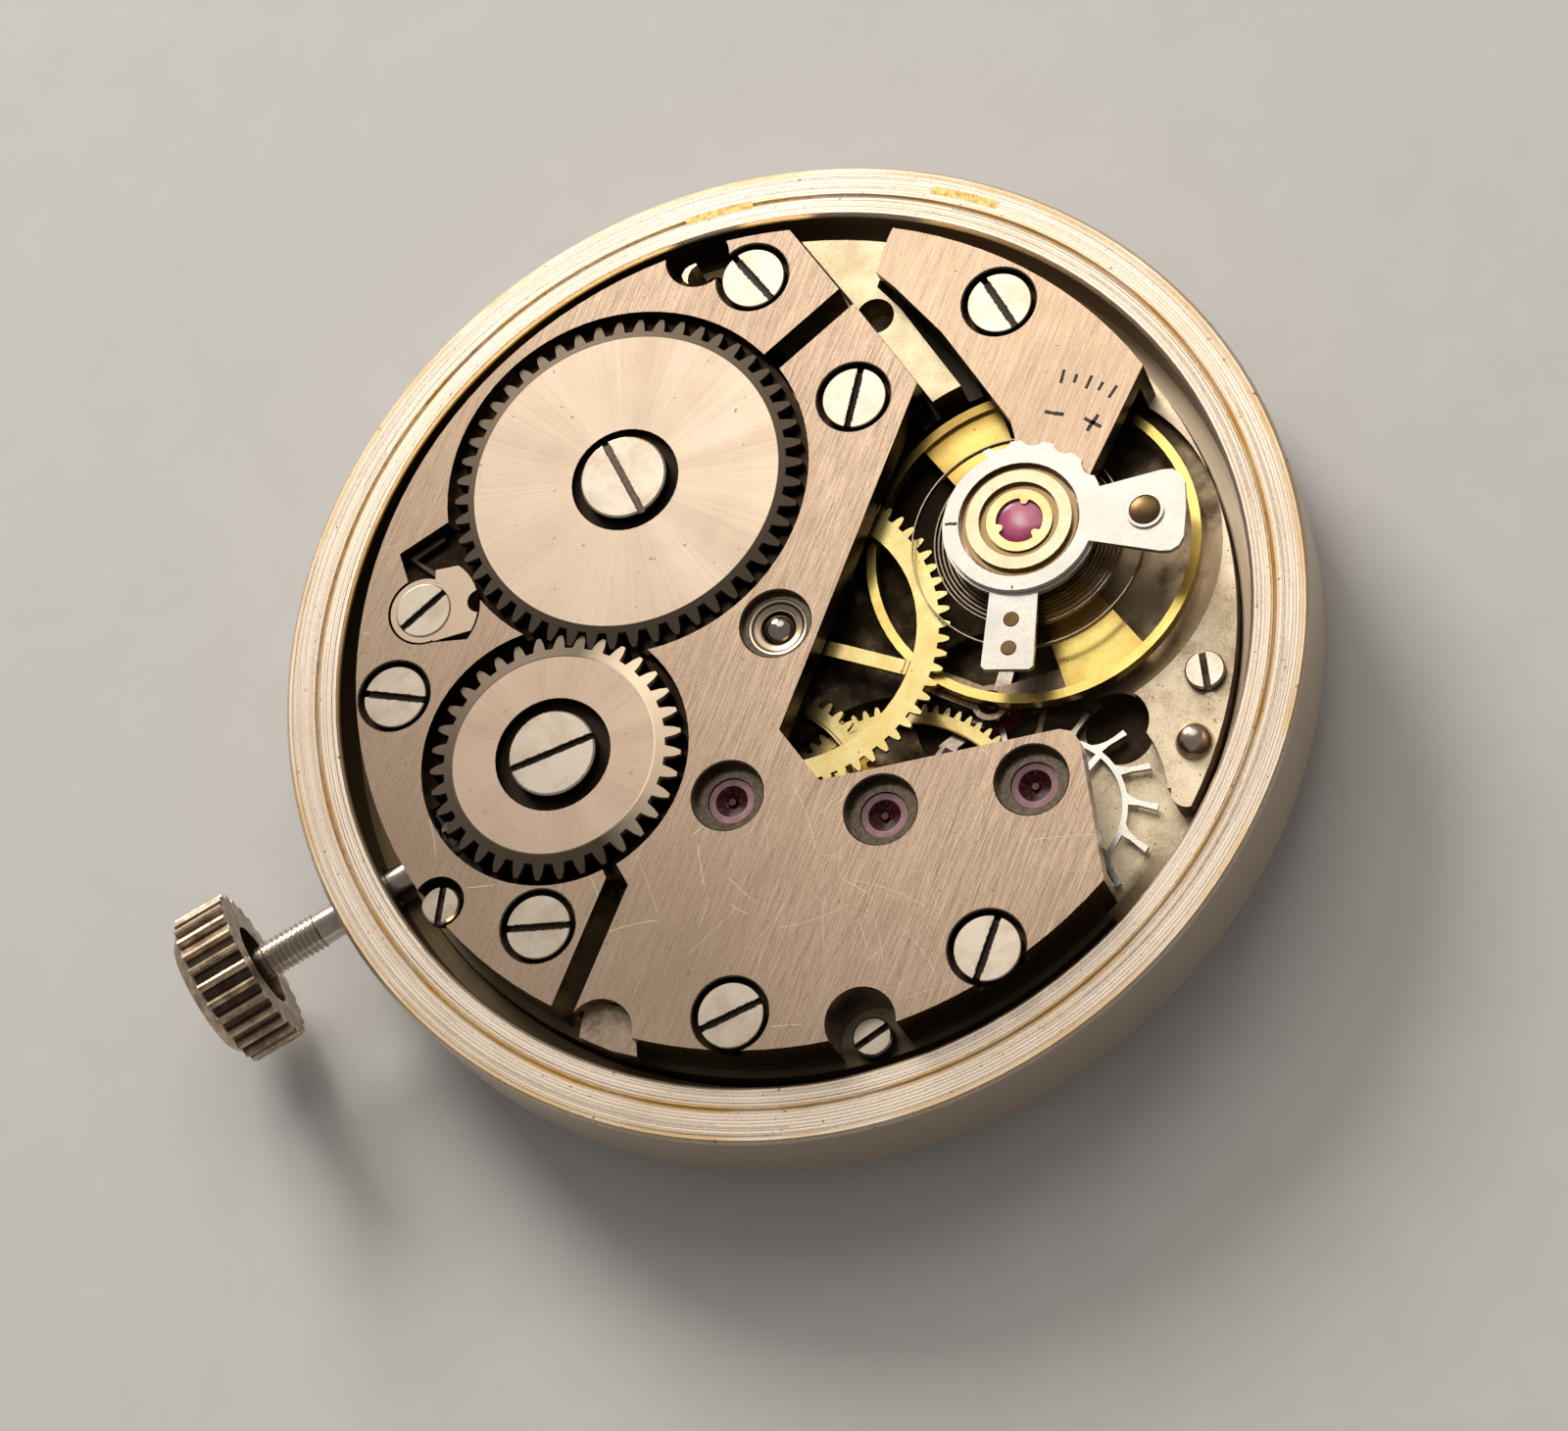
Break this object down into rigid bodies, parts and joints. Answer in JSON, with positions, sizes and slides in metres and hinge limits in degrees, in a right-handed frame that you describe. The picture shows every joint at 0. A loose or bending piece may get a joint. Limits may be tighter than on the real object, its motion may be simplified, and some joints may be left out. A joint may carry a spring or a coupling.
{
  "type": "watch movement",
  "caption": "Round hand-wound watch movement with small seconds, seen from the bridge side, in a plain movement ring with its winding stem and crown.",
  "frame": {"origin": "centre of the dial seat, on the axis of the centre wheel", "axes": "+Z from the dial towards the bridges; the winding stem lies along -X"},
  "size_m": [0.0337, 0.0292, 0.0055],
  "materials": {
    "nickel": "nickel plated, fine straight brushing",
    "polished_steel": "polished",
    "sunray_steel": "sunray brushed",
    "spring_steel": "hardened steel, grey",
    "gilt": "gilt, satin",
    "ruby": "polished synthetic ruby",
    "ring_steel": "turned",
    "crown_metal": "worn plated"
  },
  "bodies": {
    "frame": {"main_plate": "nickel", "barrel_bridge": "nickel", "train_bridge": "nickel", "balance_cock": "nickel", "pallet_bridge": "nickel", "movement_ring": "ring_steel", "bridge_screws": "polished_steel", "small_screws": "polished_steel", "casing_screw": "polished_steel", "crown_wheel_core": "spring_steel", "crown_wheel_screw": "polished_steel", "click_spring": "spring_steel", "centre_bush": "gilt", "upper_jewels": "ruby", "lower_jewels": "ruby", "shock_blocks": "gilt", "cap_jewels": "ruby", "shock_springs": "gilt", "plate_pin": "polished_steel", "setting_lever_screw": "polished_steel", "setting_lever_spring": "polished_steel", "yoke_spring": "spring_steel"},
    "ratchet": {"ratchet_wheel": "sunray_steel", "ratchet_screw": "polished_steel", "barrel_arbor": "spring_steel"},
    "crown_wheel": {"crown_wheel": "sunray_steel"},
    "winding_pinion": {"winding_pinion": "spring_steel"},
    "stem": {"winding_stem": "polished_steel", "crown": "crown_metal"},
    "sliding_pinion": {"sliding_pinion": "spring_steel"},
    "setting_lever": {"setting_lever": "polished_steel"},
    "yoke": {"yoke": "polished_steel"},
    "click": {"click": "sunray_steel"},
    "third": {"third_pinion": "polished_steel", "third_wheel": "gilt"},
    "centre": {"centre_pinion": "polished_steel", "centre_wheel": "gilt", "cannon_pinion": "polished_steel"},
    "barrel": {"barrel_drum": "gilt", "barrel_cover": "gilt", "mainspring": "spring_steel"},
    "fourth": {"fourth_pinion": "polished_steel", "fourth_wheel": "gilt"},
    "escape": {"escape_pinion": "polished_steel", "escape_wheel": "polished_steel"},
    "minute_wheel": {"minute_wheel": "gilt"},
    "hour_wheel": {"hour_wheel": "gilt"},
    "setting_wheel": {"setting_wheel": "polished_steel"},
    "pallets": {"pallet_fork": "polished_steel", "pallet_stones": "ruby", "pallet_arbor": "polished_steel"},
    "balance": {"balance_wheel": "gilt", "balance_staff": "polished_steel", "roller": "polished_steel", "impulse_jewel": "ruby"},
    "stud_carrier": {"stud_carrier": "polished_steel", "hairspring_stud": "gilt", "hairspring": "spring_steel"},
    "regulator": {"regulator": "polished_steel", "curb_pins": "gilt"}
  },
  "joints": [
    {"name": "ratchet_turn", "type": "hinge", "parent": "frame", "child": "ratchet", "pos_m": [-0.00169, 0.00637, 0.0015], "axis": [0, 0, 1], "continuous": true},
    {"name": "crown_wheel_turn", "type": "hinge", "parent": "frame", "child": "crown_wheel", "pos_m": [-0.00709, 0, 0.0015], "axis": [0, 0, 1], "continuous": true},
    {"name": "winding_pinion_turn", "type": "hinge", "parent": "frame", "child": "winding_pinion", "pos_m": [-0.0106, 0, 0.00142], "axis": [1, 0, 0], "continuous": true},
    {"name": "stem_pull", "type": "slide", "parent": "winding_pinion", "child": "stem", "axis": [-1, 0, 0], "range_m": [0, 0.0006]},
    {"name": "sliding_pinion_slide", "type": "slide", "parent": "winding_pinion", "child": "sliding_pinion", "axis": [1, 0, 0], "range_m": [0, 0.00036]},
    {"name": "setting_lever_swing", "type": "hinge", "parent": "frame", "child": "setting_lever", "pos_m": [-0.01176, -0.00214, 0.0015], "axis": [0, 0, 1], "range_deg": [0, 16.2]},
    {"name": "yoke_swing", "type": "hinge", "parent": "frame", "child": "yoke", "pos_m": [-0.00955, 0.0032, 0.0015], "axis": [0, 0, 1], "range_deg": [0, 6.46]},
    {"name": "click_swing", "type": "hinge", "parent": "frame", "child": "click", "pos_m": [-0.00844, 0.00606, 0.0015], "axis": [0, 0, 1], "range_deg": [-10, 0], "stiffness_Nm_per_rad": 0.0005},
    {"name": "third_turn", "type": "hinge", "parent": "frame", "child": "third", "pos_m": [-0.00342, -0.0038, 0.0015], "axis": [0, 0, 1], "continuous": true},
    {"name": "centre_turn", "type": "hinge", "parent": "frame", "child": "centre", "pos_m": [0, 0, 0.0015], "axis": [0, 0, 1], "continuous": true},
    {"name": "barrel_turn", "type": "hinge", "parent": "frame", "child": "barrel", "pos_m": [-0.00169, 0.00637, 0.0015], "axis": [0, 0, 1], "continuous": true},
    {"name": "fourth_turn", "type": "hinge", "parent": "frame", "child": "fourth", "pos_m": [0, -0.00648, 0.0015], "axis": [0, 0, 1], "continuous": true},
    {"name": "escape_turn", "type": "hinge", "parent": "frame", "child": "escape", "pos_m": [0.00388, -0.00797, 0.0015], "axis": [0, 0, 1], "continuous": true},
    {"name": "minute_wheel_turn", "type": "hinge", "parent": "frame", "child": "minute_wheel", "pos_m": [-0.0025, -0.00146, 0.0015], "axis": [0, 0, 1], "continuous": true},
    {"name": "hour_wheel_turn", "type": "hinge", "parent": "frame", "child": "hour_wheel", "pos_m": [0, 0, 0.0015], "axis": [0, 0, 1], "continuous": true},
    {"name": "setting_wheel_turn", "type": "hinge", "parent": "frame", "child": "setting_wheel", "pos_m": [-0.00634, 0, 0.0015], "axis": [0, 0, 1], "continuous": true},
    {"name": "pallet_swing", "type": "hinge", "parent": "frame", "child": "pallets", "pos_m": [0.00398, -0.00454, 0.0015], "axis": [0, 0, 1], "range_deg": [-4, 4]},
    {"name": "balance_swing", "type": "hinge", "parent": "frame", "child": "balance", "pos_m": [0.00715, -0.00127, 0.0015], "axis": [0, 0, 1], "range_deg": [-270, 270], "stiffness_Nm_per_rad": 0.0000008, "deforming": ["hairspring"]},
    {"name": "stud_carrier_turn", "type": "hinge", "parent": "frame", "child": "stud_carrier", "pos_m": [0.00715, -0.00127, 0.0015], "axis": [0, 0, 1], "range_deg": [-15, 15]},
    {"name": "regulator_turn", "type": "hinge", "parent": "frame", "child": "regulator", "pos_m": [0.00715, -0.00127, 0.0015], "axis": [0, 0, 1], "range_deg": [-20, 20]}
  ],
  "couplings": [
    {"joint": "crown_wheel_turn", "follows": "ratchet_turn", "ratio": -1.4286},
    {"joint": "winding_pinion_turn", "follows": "ratchet_turn", "ratio": -3.8462},
    {"joint": "sliding_pinion_slide", "follows": "stem_pull", "ratio": 0.6},
    {"joint": "setting_lever_swing", "follows": "stem_pull", "rad_per_m": 471.19},
    {"joint": "yoke_swing", "follows": "stem_pull", "rad_per_m": 187.89},
    {"joint": "centre_turn", "follows": "third_turn", "ratio": -0.125},
    {"joint": "barrel_turn", "follows": "third_turn", "ratio": 0.020833},
    {"joint": "fourth_turn", "follows": "third_turn", "ratio": -7.5},
    {"joint": "escape_turn", "follows": "third_turn", "ratio": 75},
    {"joint": "minute_wheel_turn", "follows": "third_turn", "ratio": 0.041667},
    {"joint": "hour_wheel_turn", "follows": "third_turn", "ratio": -0.010417},
    {"joint": "setting_wheel_turn", "follows": "third_turn", "ratio": -0.046875}
  ]
}
